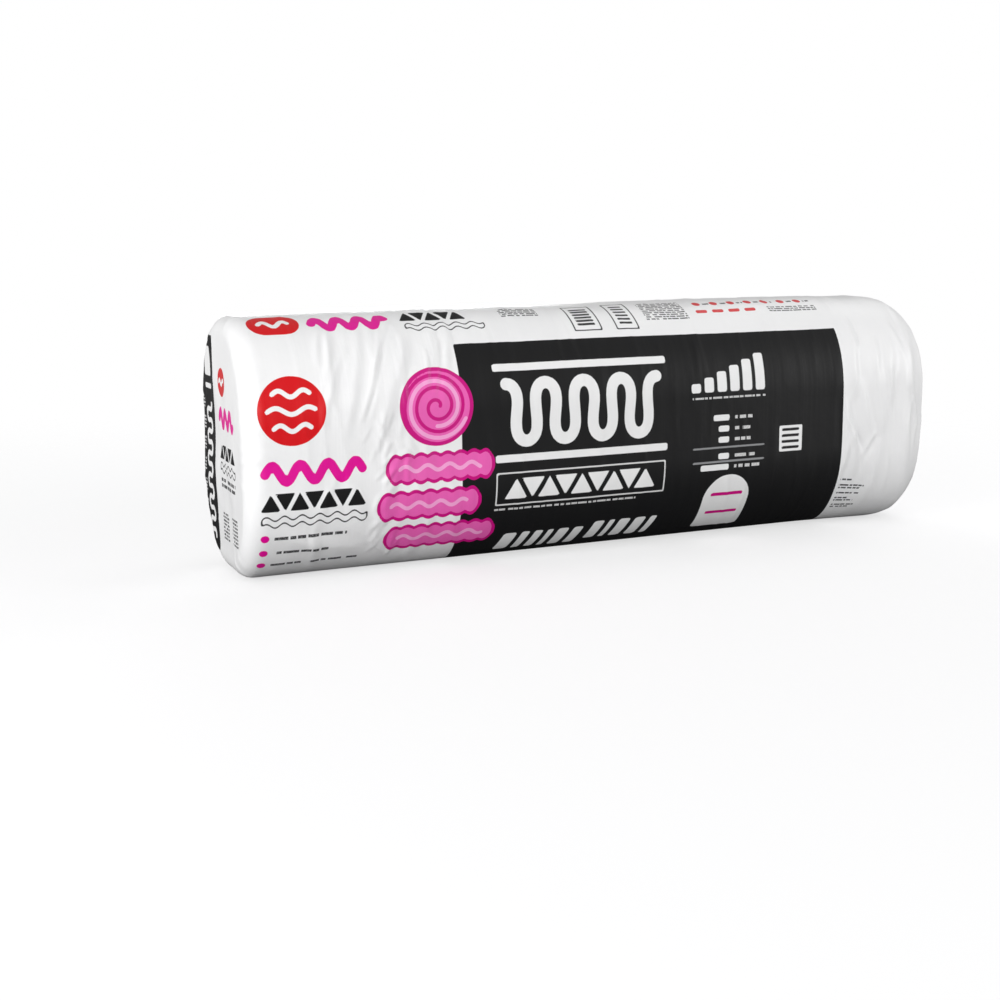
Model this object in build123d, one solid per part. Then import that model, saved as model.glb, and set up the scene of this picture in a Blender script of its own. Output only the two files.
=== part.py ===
"""A film bag of ten compressed fiberglass batts, standing on its long narrow side.

The batts stand on edge side by side, pressed to about an eighth of their free thickness, and a
tight film bag holds them there. Millimetres, +Z up. The bag's length runs along X, its printed
front faces -Y, and it stands on Z = 0. The origin is under the middle of the whole bag.

Across its length the bag has a narrow flat along its top and foot, where it rests and is stacked,
upright sides, and elliptical corners between them. The left end is drawn flat over the batts. The
right end is looser: a pillow that narrows to an upright heat-sealed fin.
"""
import os
from math import cos, pi, sin

from build123d import *

# Film bag, outside sizes
bag_length = 1250.0
bag_depth = 290.0
bag_height = 400.0
film_thickness = 1.0
top_flat_width = 40.0
foot_flat_width = 50.0
corner_height = 150.0

# What each end takes to round off along X, and how far it draws in from each side, top and foot
left_round = 30.0
left_draw_side = 28.0
left_draw_height = 28.0
right_round = 88.0
right_draw_side = 56.0
right_draw_height = 74.0
stations_per_end = 8

# Heat-sealed fin on the right end, two layers of film welded flat
fin_reach = 20.0
fin_height = 260.0
fin_bow = 12.0
fin_thickness = 2.0

# Batts: full length, squeezed in thickness, their edges drawn together by the film
batt_count = 10
batt_length = 1219.0
batt_left_gap = 6.0
batt_gap = 0.5
batt_clearance = 0.3
batt_edge_spread = 196.0


# Where the bag's two ends come along X, with the fin counted in the whole length
left_end = -(bag_length + fin_reach) / 2
right_end = left_end + bag_length


def bag_section(x, inset, draw_side, draw_height):
    """The outline at one place along the bag: its full section, inset and then drawn in."""
    side = bag_depth / 2 - inset - draw_side
    top = bag_height - inset - draw_height
    foot = inset + draw_height
    corner = (corner_height - inset) * (top - foot) / (bag_height - 2 * inset)
    half_top = top_flat_width / 2
    half_foot = foot_flat_width / 2
    plane = Plane(origin=(x, 0, 0), x_dir=(0, 1, 0), z_dir=(1, 0, 0))
    with BuildSketch(plane) as section:
        with BuildLine():
            EllipticalCenterArc((half_top, top - corner), side - half_top, corner, 0, arc_size=90)
            Line((half_top, top), (-half_top, top))
            EllipticalCenterArc((-half_top, top - corner), side - half_top, corner, 90, arc_size=90)
            Line((-side, top - corner), (-side, foot + corner))
            EllipticalCenterArc((-half_foot, foot + corner), side - half_foot, corner, 180, arc_size=90)
            Line((-half_foot, foot), (half_foot, foot))
            EllipticalCenterArc((half_foot, foot + corner), side - half_foot, corner, 270, arc_size=90)
            Line((side, foot + corner), (side, top - corner))
        make_face()
    return section.sketch.faces()[0]


def rounded_end(end_x, direction, inset, round_length, draw_side, draw_height, ruled):
    """One end of the bag: its section narrows along a quarter ellipse to the flat end."""
    sections = []
    for station in range(stations_per_end + 1):
        angle = pi / 2 * station / stations_per_end
        x = end_x + direction * (round_length - inset) * (1 - cos(angle))
        left_over = 1 - sin(angle)
        sections.append(
            bag_section(x, inset, (draw_side - inset) * left_over, (draw_height - inset) * left_over)
        )
    return loft(sections, ruled=ruled)


def bag_body(inset, ruled=False):
    """The bag as one closed solid, inset from its outside by the same amount all round."""
    left = rounded_end(
        left_end + inset, 1, inset, left_round, left_draw_side, left_draw_height, ruled
    )
    right = rounded_end(
        right_end - inset, -1, inset, right_round, right_draw_side, right_draw_height, ruled
    )
    straight = extrude(
        bag_section(left_end + left_round, inset, 0, 0), amount=bag_length - right_round - left_round
    )
    return left + straight + right


def seal_fin():
    """The upright fin at mid depth, its free edge bowed like the end that it closes."""
    root = right_end - right_round / 2
    tip = right_end + fin_reach
    low = (bag_height - fin_height) / 2
    high = (bag_height + fin_height) / 2
    with BuildSketch(Plane.XZ) as outline:
        with BuildLine():
            Line((root, low), (tip - fin_bow, low))
            ThreePointArc((tip - fin_bow, low), (tip, bag_height / 2), (tip - fin_bow, high))
            Line((tip - fin_bow, high), (root, high))
            Line((root, high), (root, low))
        make_face()
    return extrude(outline.sketch, amount=fin_thickness / 2, both=True)


def bag_film():
    """The film: the closed bag, hollow inside, with its seal fin."""
    cavity = bag_body(film_thickness, ruled=True)
    return bag_body(0) + seal_fin() - cavity


def gap_side(edge, widest):
    """One side of a gap between batts: an arc, which is straight for the gap at mid depth."""
    if abs(widest - edge) < batt_gap / 2:
        return Line((edge, 0), (edge, bag_height))
    return ThreePointArc((edge, 0), (widest, bag_height / 2), (edge, bag_height))


def gap_between_batts(index):
    """The thin upright gap after batt number index, bowed like the front or back it is nearer."""
    share = 2 * index / batt_count - 1
    widest = share * bag_depth / 2
    edge = share * batt_edge_spread / 2
    half_gap = batt_gap / 2
    with BuildSketch(Plane.YZ.offset(left_end)) as outline:
        with BuildLine():
            gap_side(edge - half_gap, widest - half_gap)
            Line((edge - half_gap, bag_height), (edge + half_gap, bag_height))
            gap_side(edge + half_gap, widest + half_gap)
            Line((edge + half_gap, 0), (edge - half_gap, 0))
        make_face()
    return extrude(outline.sketch, amount=bag_length)


def batts():
    """The batts: the space in the bag, cut to the batts' length and parted into equal batts."""
    inside = bag_body(film_thickness + batt_clearance, ruled=True)
    left = left_end + film_thickness + batt_left_gap
    block = Pos(left, 0, 0) * Box(
        batt_length, bag_depth, bag_height, align=(Align.MIN, Align.CENTER, Align.MIN)
    )
    stack = inside & block
    return stack - [gap_between_batts(index) for index in range(1, batt_count)]


os.makedirs("parts", exist_ok=True)
export_step(bag_film(), "parts/bag_film.step")
export_step(batts(), "parts/batts.step")
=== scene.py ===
"""Looks of a film bag of compressed fiberglass batts, standing on its long narrow side.

The CAD gives the bag's closed shape and size. Here it gets its real skin: printed polyethylene
film, tight over the squeezed batts, with its pull lines, soft lumps and tucked folds, a crimped
weld at the right end, and a studio to see it in.

Places on the bag are in millimetres, in two charts. The side chart has x from the bag's left end
and climb up the film from the front's mid height, over the top and down the back. The end chart
has across from mid depth towards the front and height from mid height, seen from the left.
"""
import logging
from dataclasses import dataclass
from enum import Enum
from math import cos, pi, radians, sin
from typing import Any

import bpy
import numpy as np
from mathutils import Matrix, Vector


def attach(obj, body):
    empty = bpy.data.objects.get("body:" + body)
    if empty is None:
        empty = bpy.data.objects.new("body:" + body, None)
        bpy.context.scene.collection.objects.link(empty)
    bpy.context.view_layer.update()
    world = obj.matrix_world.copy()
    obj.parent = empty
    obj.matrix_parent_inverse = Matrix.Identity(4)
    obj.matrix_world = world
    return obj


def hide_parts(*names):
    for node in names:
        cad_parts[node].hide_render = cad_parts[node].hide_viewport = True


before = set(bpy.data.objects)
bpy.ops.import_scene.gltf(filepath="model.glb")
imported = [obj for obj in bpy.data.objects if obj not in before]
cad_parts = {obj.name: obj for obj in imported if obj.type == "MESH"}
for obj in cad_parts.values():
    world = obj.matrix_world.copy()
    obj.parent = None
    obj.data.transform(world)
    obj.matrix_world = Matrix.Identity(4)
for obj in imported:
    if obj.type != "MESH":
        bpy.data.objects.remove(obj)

log = logging.getLogger("bag")

Tree = bpy.types.NodeTree
Socket = bpy.types.NodeSocket
Place = tuple[float, float, float]
Box = tuple[float, float, float, float]
Path = tuple[tuple[float, float], ...]
Grid = np.ndarray
Grids = dict[str, Grid]
Shades = tuple[tuple["Ink", str], ...]

MM = 0.001
QUARTER_TURN = pi / 2

# What an ink's field says where none of its marks is near, in millimetres
FAR = 40.0

# The bag's place and sizes in millimetres, as the CAD has them
LEFT_END = -635.0
BAG_LENGTH = 1250.0
BAG_DEPTH = 290.0
MID_HEIGHT = 200.0

# From one row of small print to the next, in millimetres
FINE_ROW = 5.6
ROW = 9.2


def linear(colour: str) -> tuple[float, float, float, float]:
    """Turns an sRGB hex colour into the linear values that shaders take.

    Args:
        colour: Six hex digits, with or without a leading hash.

    Returns:
        Red, green, blue and an alpha of 1. Each channel is the sRGB curve undone: a straight
        part near black, and the power 2.4 above it.
    """
    digits = colour.lstrip("#")
    channels = [int(digits[at : at + 2], 16) / 255 for at in (0, 2, 4)]
    red, green, blue = [
        value / 12.92 if value <= 0.04045 else ((value + 0.055) / 1.055) ** 2.4 for value in channels
    ]
    return red, green, blue, 1.0


def add(tree: Tree, kind: str, inputs: dict[Any, Any] | None = None, **settings: Any) -> bpy.types.Node:
    """Adds a node with its settings and links.

    Args:
        tree: The node tree that gets the node.
        kind: The node's type, without the leading ShaderNode.
        inputs: Socket name or number to a value, or to the output socket that feeds it.
        settings: The node's own properties.

    Returns:
        The new node.
    """
    node = tree.nodes.new("ShaderNode" + kind)
    for name, value in settings.items():
        setattr(node, name, value)
    for name, value in (inputs or {}).items():
        if isinstance(value, Socket):
            tree.links.new(value, node.inputs[name])
        else:
            node.inputs[name].default_value = value
    return node


def math(tree: Tree, operation: str, *values: Any) -> Socket:
    """Adds a Math node that works on its values or sockets, and gives its output."""
    return add(tree, "Math", dict(enumerate(values)), operation=operation).outputs[0]


def ramp(tree: Tree, *values: Any) -> Socket:
    """Adds a Map Range node: the value, the range it comes from and the one it goes to."""
    return add(tree, "MapRange", dict(enumerate(values))).outputs[0]


def blend(tree: Tree, share: Socket, first: Any, second: Any) -> Socket:
    """Adds a Mix node that goes from its first colour to its second with the share."""
    return add(tree, "Mix", {0: share, 6: first, 7: second}, data_type="RGBA").outputs[2]


def noise(tree: Tree, place: Socket, scale: float, detail: float, space: str = "3D") -> Socket:
    """Adds a Noise texture over a place and gives its value."""
    inputs = {"Vector": place, "Scale": scale, "Detail": detail}
    return add(tree, "TexNoise", inputs, noise_dimensions=space).outputs[0]


def bump(tree: Tree, strength: float, distance: float, height: Socket) -> Socket:
    """Adds a Bump node over a height and gives its normal."""
    return add(tree, "Bump", {"Strength": strength, "Distance": distance, "Height": height}).outputs[0]


def coat(tree: Tree, inputs: dict[str, Any]) -> None:
    """Ends a material with a Principled surface that has these inputs."""
    surface = add(tree, "BsdfPrincipled", inputs)
    add(tree, "OutputMaterial", {"Surface": surface.outputs[0]})


def place_in_scene(name: str, data: bpy.types.ID) -> bpy.types.Object:
    """Puts something into the scene as an object at the origin.

    Args:
        name: The object's name.
        data: A mesh, a light or a camera.

    Returns:
        The object.
    """
    made = bpy.data.objects.new(name, data)
    bpy.context.scene.collection.objects.link(made)
    return made


def smooth_mesh(name: str, points: Grid, faces: list[list[int]]) -> bpy.types.Mesh:
    """Makes a mesh with smooth shading.

    Args:
        name: The mesh's name.
        points: Its vertices in millimetres, one row each.
        faces: The numbers of every face's vertices.

    Returns:
        The mesh, in metres.
    """
    mesh = bpy.data.meshes.new(name)
    mesh.from_pydata((points * MM).tolist(), [], faces)
    mesh.polygons.foreach_set("use_smooth", np.ones(len(mesh.polygons), bool))
    return mesh


def fresh_material(name: str) -> tuple[bpy.types.Material, Tree]:
    """Makes an empty node material.

    Args:
        name: The material's name.

    Returns:
        The material and its node tree.
    """
    material = bpy.data.materials.new(name)
    material.use_nodes = True
    material.node_tree.nodes.clear()
    return material, material.node_tree


def lattice_noise(along: Grid, around: Grid, seed: int, wrap: int = 64) -> Grid:
    """Smooth seeded noise over a plane.

    Random values sit on the whole numbers of both axes. Between four of them the value is their
    blend, with the weight three t squared less two t cubed along each axis.

    Args:
        along: First coordinate, in lattice cells.
        around: Second coordinate, in lattice cells.
        seed: The seed of the random values.
        wrap: Cells after which the second axis repeats.

    Returns:
        Values from -1 to 1, in the coordinates' shape.
    """
    rows = 257
    table = np.random.default_rng(seed).uniform(-1, 1, (rows, wrap))
    first, second = np.floor(along).astype(int), np.floor(around).astype(int)
    s, t = along - first, around - second
    s, t = s * s * (3 - 2 * s), t * t * (3 - 2 * t)
    row, next_row = first % rows, (first + 1) % rows
    column, next_column = second % wrap, (second + 1) % wrap
    low = table[row, column] * (1 - s) + table[next_row, column] * s
    high = table[row, next_column] * (1 - s) + table[next_row, next_column] * s
    return low * (1 - t) + high * t


def ease(low: float, high: float, value: Grid) -> Grid:
    """Rises smoothly from 0 at low to 1 at high, as three t squared less two t cubed."""
    t = np.clip((value - low) / (high - low), 0, 1)
    return t * t * (3 - 2 * t)


def path_distance(across: Grid, up: Grid, path: Grid) -> tuple[Grid, Grid, Grid]:
    """Distance from points to a path of straight runs.

    Args:
        across: The points' first coordinate.
        up: The points' second coordinate.
        path: The path's corners, one row each.

    Returns:
        The distance to the nearest run, which side of it the point is on as -1 or 1, and how far
        along the whole path the nearest place is, from 0 to 1.
    """
    runs = np.diff(path, axis=0)
    lengths = np.hypot(runs[:, 0], runs[:, 1])
    starts = np.r_[0, np.cumsum(lengths)]
    nearest = np.full(across.shape, 1e9)
    side = np.ones(across.shape)
    share = np.zeros(across.shape)
    for corner, run, length, start in zip(path, runs, lengths, starts):
        x, y = across - corner[0], up - corner[1]
        t = np.clip((x * run[0] + y * run[1]) / length**2, 0, 1)
        distance = np.hypot(x - t * run[0], y - t * run[1])
        closer = distance < nearest
        nearest = np.where(closer, distance, nearest)
        side = np.where(closer, np.where(run[0] * y - run[1] * x > 0, 1.0, -1.0), side)
        share = np.where(closer, (start + t * length) / starts[-1], share)
    return nearest, side, share


class Ink(Enum):
    """The inks, in the order in which they are laid over the white film."""

    BLACK = "ink_black"
    WHITE = "ink_white"
    GREY = "ink_grey"
    RED = "ink_red"
    MAGENTA = "ink_magenta"
    PINK = "ink_pink"
    PALE = "ink_pale"
    ROSE = "ink_rose"
    TOP_WHITE = "ink_top_white"
    TOP_BLACK = "ink_top_black"
    LINE_LIGHT = "line_light"
    LINE_DARK = "line_dark"
    FINE_LIGHT = "fine_light"
    FINE_DARK = "fine_dark"
    ROW_LIGHT = "row_light"
    ROW_DARK = "row_dark"


def box_round(points: Any, spare: float = 0.0) -> Box:
    """The points' lowest and highest first coordinate, then the second's, with room to spare."""
    low, high = np.min(points, axis=0) - spare, np.max(points, axis=0) + spare
    return low[0], high[0], low[1], high[1]


def within(box: Box, across: Grid, up: Grid, spare: float = 0.0) -> Grid:
    """Tells which points lie in a box.

    Args:
        box: Its lowest and highest first coordinate, then its second's.
        across: The points' first coordinate.
        up: The points' second coordinate.
        spare: How far outside the box still counts.

    Returns:
        True for each point inside.
    """
    left, right, low, high = box
    aside = (across > left - spare) & (across < right + spare)
    return aside & (up > low - spare) & (up < high + spare)


@dataclass(frozen=True)
class Mark:
    """One printed shape, in millimetres of its chart. Subclasses give its distance field."""

    ink: Ink

    def reach(self) -> Box:
        """The shape's lowest and highest first coordinate, then the same of the second."""
        raise NotImplementedError

    def distance(self, across: Grid, up: Grid) -> Grid:
        """Signed distance to the shape's edge, negative inside it."""
        raise NotImplementedError


@dataclass(frozen=True)
class Block(Mark):
    """A rectangle with rounded corners, which may lean, wave or have scalloped long edges."""

    left: float = 0.0
    right: float = 1.0
    low: float = 0.0
    high: float = 1.0
    radius: float = 0.0
    lean: float = 0.0
    wave: float = 0.0
    wave_length: float = 60.0
    scallop: float = 0.0
    scallops: int = 6

    def reach(self) -> Box:
        """The rectangle, with room for its lean and waves.

        Returns:
            The box round the shape.
        """
        spare = abs(self.lean) * (self.high - self.low) / 2
        rise = self.wave + self.scallop
        return self.left - spare, self.right + spare, self.low - rise, self.high + rise

    def distance(self, across: Grid, up: Grid) -> Grid:
        """The distance to a box: the length to its corner, or to the nearer side when inside.

        Args:
            across: The points' first coordinate.
            up: The points' second coordinate, from which the wave is taken off first.

        Returns:
            The signed distance. A scallop moves the long edges out by the size of a sine.
        """
        mid_across, mid_up = (self.left + self.right) / 2, (self.low + self.high) / 2
        up = up - self.wave * np.sin(2 * pi * (across - self.left) / self.wave_length)
        x = np.abs(across - mid_across - self.lean * (up - mid_up)) - (self.right - self.left) / 2
        y = np.abs(up - mid_up) - (self.high - self.low) / 2
        turn = pi * self.scallops * (across - self.left) / (self.right - self.left)
        y = y - self.scallop * np.abs(np.sin(turn))
        x, y = x + self.radius, y + self.radius
        outside = np.hypot(np.maximum(x, 0), np.maximum(y, 0))
        return outside + np.minimum(np.maximum(x, y), 0) - self.radius


@dataclass(frozen=True)
class Disc(Mark):
    """A round spot."""

    across: float = 0.0
    up: float = 0.0
    radius: float = 1.0

    def reach(self) -> Box:
        """The square round the disc."""
        return box_round([(self.across, self.up)], self.radius)

    def distance(self, across: Grid, up: Grid) -> Grid:
        """The distance to the centre, less the radius."""
        return np.hypot(across - self.across, up - self.up) - self.radius


@dataclass(frozen=True)
class Stroke(Mark):
    """A pen stroke of one width along a path."""

    path: Path = ()
    width: float = 4.0

    def reach(self) -> Box:
        """The path's box, with half the width round it."""
        return box_round(self.path, self.width / 2)

    def distance(self, across: Grid, up: Grid) -> Grid:
        """The distance to the path, less half the width."""
        return path_distance(across, up, np.array(self.path))[0] - self.width / 2


@dataclass(frozen=True)
class Rim(Mark):
    """An outline of another mark, of one width."""

    of: Mark = Mark(Ink.ROSE)
    width: float = 6.0

    def reach(self) -> Box:
        """The other mark's box, with half the width round it."""
        left, right, low, high = self.of.reach()
        return box_round([(left, low), (right, high)], self.width / 2)

    def distance(self, across: Grid, up: Grid) -> Grid:
        """The distance to the other mark's edge, less half the width."""
        return np.abs(self.of.distance(across, up)) - self.width / 2


@dataclass(frozen=True)
class Facet(Mark):
    """A filled convex shape with straight sides, its corners listed anticlockwise."""

    path: Path = ()

    def reach(self) -> Box:
        """The corners' box."""
        return box_round(self.path)

    def distance(self, across: Grid, up: Grid) -> Grid:
        """The largest of the distances past each side's line.

        Args:
            across: The points' first coordinate.
            up: The points' second coordinate.

        Returns:
            The signed distance.
        """
        points = np.array(self.path)
        furthest = np.full(across.shape, -1e9)
        for corner, following in zip(points, np.roll(points, -1, axis=0)):
            run = (following - corner) / np.hypot(*(following - corner))
            furthest = np.maximum(furthest, run[1] * (across - corner[0]) - run[0] * (up - corner[1]))
        return furthest


def wave_path(left: float, right: float, mid: float, swing: float, length: float) -> Path:
    """A sine wave's path between two places: mid plus swing times the sine."""
    across = np.arange(left, right + 1, 4.0)
    return tuple(zip(across, mid + swing * np.sin(2 * pi * (across - left) / length)))


def loop_path(left: float, right: float, mid: float, swing: float, loops: int) -> Path:
    """The draughtsman's sign for a batt: a wave whose turns bulge into loops.

    Height is swing times the cosine of the angle. The place across moves on evenly, plus a sine
    of twice the angle, which carries it back where the line crosses the middle.

    Args:
        left: Where the sign starts.
        right: Where it ends.
        mid: Its middle height.
        swing: How far it goes above and below.
        loops: How many whole waves it has.

    Returns:
        The path's points.
    """
    bulge, steps = 0.115, 34
    angle = np.linspace(0, 2 * pi * loops, steps * loops + 1)
    pitch = (right - left) / loops
    across = left + pitch * angle / (2 * pi) + bulge * pitch * np.sin(2 * angle)
    return tuple(zip(across, mid + swing * np.cos(angle)))


def coil_path(across: float, up: float, inner: float, outer: float, turns: float) -> Path:
    """A spiral whose radius grows evenly with its angle.

    Args:
        across: Its middle's first coordinate.
        up: Its middle's second coordinate.
        inner: The radius where it starts.
        outer: The radius where it ends.
        turns: How often it goes round.

    Returns:
        The path's points.
    """
    angle = np.linspace(0, 2 * pi * turns, int(30 * turns))
    radius = inner + (outer - inner) * angle / angle[-1]
    return tuple(zip(across + radius * np.cos(angle), up + radius * np.sin(angle)))


def tile_row(left: float, low: float, high: float, *widths: float, gap: float = 9.0) -> list[Mark]:
    """A row of white leaning tiles with rounded corners.

    Args:
        left: Where the row starts.
        low: The tiles' foot.
        high: The tiles' top.
        widths: Each tile's width.
        gap: From one tile to the next.

    Returns:
        The tiles.
    """
    rounding, lean = 0.22, 0.26
    tiles: list[Mark] = []
    for width in widths:
        radius = min(width, high - low) * rounding
        tiles.append(Block(Ink.WHITE, left, left + width, low, high, radius, lean))
        left += width + gap
    return tiles


def tooth_row(ink: Ink, left: float, right: float, low: float, high: float, count: int) -> list[Mark]:
    """A row of triangles, point up and point down in turn.

    Args:
        ink: Their ink.
        left: Where the row starts.
        right: Where it ends.
        low: The triangles' foot.
        high: Their top.
        count: How many there are.

    Returns:
        The triangles. Each is wider than its share of the row, so their slopes run side by side.
    """
    overlap = 1.36
    pitch = (right - left) / (count + 0.5)
    teeth: list[Mark] = []
    for index in range(count):
        start = left + pitch * index
        end = start + pitch * overlap
        mid = (start + end) / 2
        upward = ((start, low), (end, low), (mid, high))
        teeth.append(Facet(ink, ((mid, low), (end, high), (start, high)) if index % 2 else upward))
    return teeth


def bars(ink: Ink, left: float, right: float, half: float, *ups: float, radius: float = 0.0) -> list[Mark]:
    """Level bars, one at each height, that reach half above it and half below."""
    return [Block(ink, left, right, up - half, up + half, radius) for up in ups]


def small_rows(ink: Ink, left: float, right: float, number: int, count: int = 1) -> Block:
    """Rows of small print: from the first row's number times its height, for a count of rows."""
    height = FINE_ROW if ink in (Ink.FINE_LIGHT, Ink.FINE_DARK) else ROW
    return Block(ink, left, right, number * height, (number + count) * height)


@dataclass(frozen=True)
class SidePrint:
    """The print on the bag's front, top and back, in the side chart.

    It is a plain design of the bag's own kind: batts, the draughtsman's batt sign, tiles and
    rules in the colours of such a bag, with nothing to read. Rows of small print are laid out on
    the whole rows that the finish draws.
    """

    panel: Box = (336.0, 1046.0, -240.0, 158.0)
    disc_mid: float = 70.5

    def head_marks(self) -> list[Mark]:
        """The left part: a red disc, magenta wave, black teeth, thin boxes and three lines.

        Returns:
            These marks.
        """
        mid = self.disc_mid
        marks: list[Mark] = [
            Disc(Ink.RED, mid, 67.0, 51.0),
            Stroke(Ink.MAGENTA, wave_path(27, 175, -24, 12.5, 42.3), 14.0),
            Block(Ink.LINE_DARK, 21, 182, -102, -91, 3, 0, 3.5, 26.8),
        ]
        for up, reach in ((92.0, 28.0), (67.0, 37.0), (42.0, 28.0)):
            path = wave_path(mid - reach, mid + reach, up, 5.0, 2 * reach / 1.5)
            marks.append(Stroke(Ink.TOP_WHITE, path, 7.0))
        for number, width in ((-14, 112.0), (-17, 86.0), (-20, 136.0)):
            marks.append(Disc(Ink.MAGENTA, 27, (number + 0.5) * ROW, 6.5))
            marks.append(small_rows(Ink.ROW_DARK, 41, 41 + width, number))
        return marks + tooth_row(Ink.BLACK, 19, 184, -80, -53, 7)

    def batt_marks(self) -> list[Mark]:
        """The picture that crosses the panel's edge: a rolled batt on a stack of fluffy batts.

        Returns:
            These marks.
        """
        roll = Disc(Ink.PINK, 296, 61, 57)
        marks: list[Mark] = [
            roll,
            Rim(Ink.ROSE, roll, 6.0),
            Stroke(Ink.ROSE, coil_path(296, 61, 5, 57, 2.75), 5.5),
            Stroke(Ink.PALE, coil_path(296, 61, 16, 66, 2.75)[22:-24], 6.0),
        ]
        for low, left, right, scallops in ((-57, 214, 388, 8), (-114, 200, 366, 7), (-171, 216, 396, 8)):
            batt = Block(Ink.PINK, left, right, low + 8, low + 43, 17, 0, 0, 60, 4.5, scallops)
            line = wave_path(left + 20, right - 20, low + 25.5, 4.5, 36)
            marks += [batt, Rim(Ink.ROSE, batt, 5.6), Stroke(Ink.PALE, line, 6.0)]
        return marks

    def panel_marks(self) -> list[Mark]:
        """The black panel with its white pictures, tiles, rules and steps.

        Returns:
            These marks.
        """
        marks: list[Mark] = [
            Block(Ink.BLACK, *self.panel, 1.0),
            Stroke(Ink.WHITE, loop_path(412, 678, 44, 45, 4), 19.0),
            Block(Ink.LINE_LIGHT, 394, 694, -101, -50),
            small_rows(Ink.FINE_LIGHT, 392, 644, -20),
            small_rows(Ink.FINE_LIGHT, 745, 887, 8),
        ]
        for step in range(6):
            left = 743.0 + 25.0 * step
            marks.append(Block(Ink.WHITE, left, left + 18, 57, 72 + 9.4 * step, 3.5))
        marks += bars(Ink.WHITE, 392, 698, 6, 115, -27, radius=2.5)
        marks += tooth_row(Ink.WHITE, 408, 681, -92, -59, 9)
        marks += tile_row(414, -200, -158, 23, 14, 14, 10, 19, 17)
        return marks + tile_row(574, -192, -150, 19, 10, 20, 20, 12)

    def table_marks(self) -> list[Mark]:
        """The small table: white bars at the left of two rules, and small print at the right.

        Returns:
            These marks.
        """
        marks = bars(Ink.GREY, 746, 887, 1.7, -36.0, -59.5)
        rows = ((1, 786, 864), (-1, 796, 858), (-3, 796, 862), (-6, 796, 868), (-8, 762, 880))
        for number, left, right in rows:
            low = number * ROW
            marks.append(Block(Ink.WHITE, left, 817, low - 0.4, low + ROW + 0.4, 2.6))
            marks.append(small_rows(Ink.ROW_LIGHT, 828, right, number))
        return marks

    def corner_marks(self) -> list[Mark]:
        """The pale arched panel with two magenta lines, the striped label and the side lines.

        Returns:
            These marks.
        """
        marks: list[Mark] = [
            Block(Ink.WHITE, 776, 866, -194, -128, 5),
            Disc(Ink.WHITE, 821, -128, 45),
            Block(Ink.WHITE, 917, 963, -51, -7, 1),
        ]
        marks += bars(Ink.ROSE, 790, 852, 3.2, -118.0, -156.0, radius=1.5)
        marks += bars(Ink.TOP_BLACK, 922, 957, 2.4, *(-44.5 + 10.2 * stripe for stripe in range(4)))
        rows = ((-20, 24), (-22, 52), (-23, 44), (-25, 46), (-27, 26), (-28, 40), (-30, 46), (-31, 38))
        return marks + [small_rows(Ink.FINE_DARK, 1053, 1053 + width, number) for number, width in rows]

    def crown_marks(self) -> list[Mark]:
        """The band along the top edge, which repeats the front's colours smaller.

        Returns:
            These marks.
        """
        marks: list[Mark] = [
            Block(Ink.RED, 27, 106, 189, 240, 25),
            Stroke(Ink.TOP_WHITE, wave_path(44, 89, 214.5, 7, 30.0), 8.0),
            Stroke(Ink.MAGENTA, wave_path(124, 243, 211, 13, 34.0), 14.0),
            Block(Ink.LINE_DARK, 269, 400, 190, 200, 3, 0, 3.2, 26.2),
            small_rows(Ink.FINE_DARK, 437, 502, 38, 5),
            small_rows(Ink.FINE_DARK, 690, 772, 34, 10),
            small_rows(Ink.FINE_DARK, 936, 1034, 36, 3),
        ]
        marks += tooth_row(Ink.BLACK, 264, 378, 210, 236, 5)
        for left, right, low, high in ((552, 600, 31, 43), (628, 668, 31, 44)):
            low, high = low * FINE_ROW, high * FINE_ROW
            marks.append(Block(Ink.LINE_DARK, left, right, low, high))
            ups = (low + 13 + (high - low - 26) * stripe / 5 for stripe in range(6))
            marks += bars(Ink.TOP_BLACK, left + 8, right - 8, 2.4, *ups)
        for left in range(806, 1044, 34):
            marks.append(Disc(Ink.RED, left, 236, 7.5))
            marks.append(small_rows(Ink.ROW_DARK, left + 12, left + 24, 25))
        return marks + [Block(Ink.RED, left, left + 22, 205, 214, 3, 0.2) for left in range(792, 920, 32)]

    def marks(self) -> list[Mark]:
        """Every mark of the side chart."""
        panel = self.panel_marks() + self.table_marks() + self.corner_marks()
        return panel + self.head_marks() + self.batt_marks() + self.crown_marks()


@dataclass(frozen=True)
class EndPrint:
    """The print on the bag's flat left end, in the end chart."""

    band: Box = (-190.0, -45.0, -170.0, 168.0)
    band_mid: float = -80.0

    def marks(self) -> list[Mark]:
        """The dark band at the back, with the front's signs repeated in small beside it.

        Returns:
            These marks.
        """
        mid = self.band_mid
        sign = tuple((mid + across, up) for up, across in loop_path(-150, 60, 0, 15, 6))
        marks: list[Mark] = [
            Block(Ink.BLACK, *self.band, 1),
            Stroke(Ink.WHITE, sign, 8.0),
            Block(Ink.WHITE, mid - 19, mid + 19, 84, 92, 2),
            Block(Ink.WHITE, mid - 19, mid + 19, 104, 150, 4),
            Disc(Ink.RED, 7, 100, 22),
            Stroke(Ink.TOP_WHITE, wave_path(-8, 22, 100, 4, 20.0), 6.0),
            Stroke(Ink.MAGENTA, wave_path(-10, 76, 45, 12, 29.0), 12.0),
            Block(Ink.LINE_DARK, -15, 80, -37, -27, 3, 0, 3, 23.8),
            small_rows(Ink.ROW_DARK, -14, 78, -7, 2),
            small_rows(Ink.FINE_DARK, -14, 22, -26, 8),
            small_rows(Ink.FINE_DARK, 44, 78, -26, 8),
        ]
        marks += tooth_row(Ink.BLACK, -16, 82, -18, 4, 5)
        return marks + [small_rows(Ink.FINE_LIGHT, -125, -107, low, 4) for low in range(-27, 10, 6)]


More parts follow.
